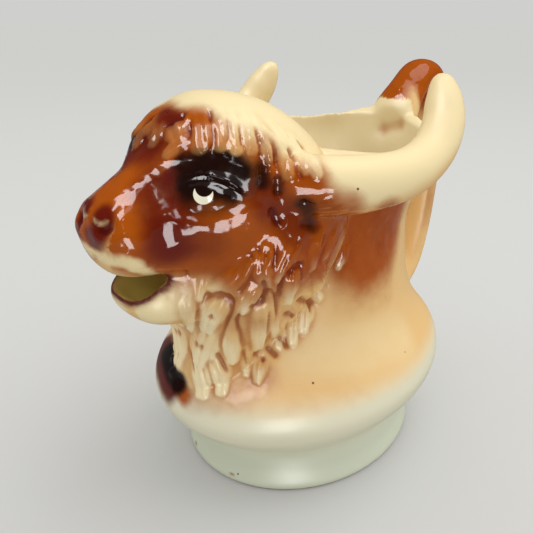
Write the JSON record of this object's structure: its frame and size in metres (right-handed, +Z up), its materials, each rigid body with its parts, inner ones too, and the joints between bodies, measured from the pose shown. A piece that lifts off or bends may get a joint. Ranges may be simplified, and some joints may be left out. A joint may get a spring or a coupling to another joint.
{
  "type": "figural pitcher",
  "caption": "Small slip-cast ceramic cream pitcher in the form of a bison's head, with an open mouth as its spout, swept horns and a loop handle.",
  "frame": {"origin": "middle of the oval foot's flat underside, on the surface that the pitcher stands on", "axes": "+Z up; +X towards the handle, so the muzzle points along -X; +Y towards the head's right side, which the picture does not show"},
  "size_m": [0.1256, 0.0756, 0.1042],
  "materials": {
    "glaze": "glossy clear glaze over airbrushed brown on cream and pale green"
  },
  "bodies": {
    "root": {"pitcher": "glaze"}
  },
  "joints": []
}
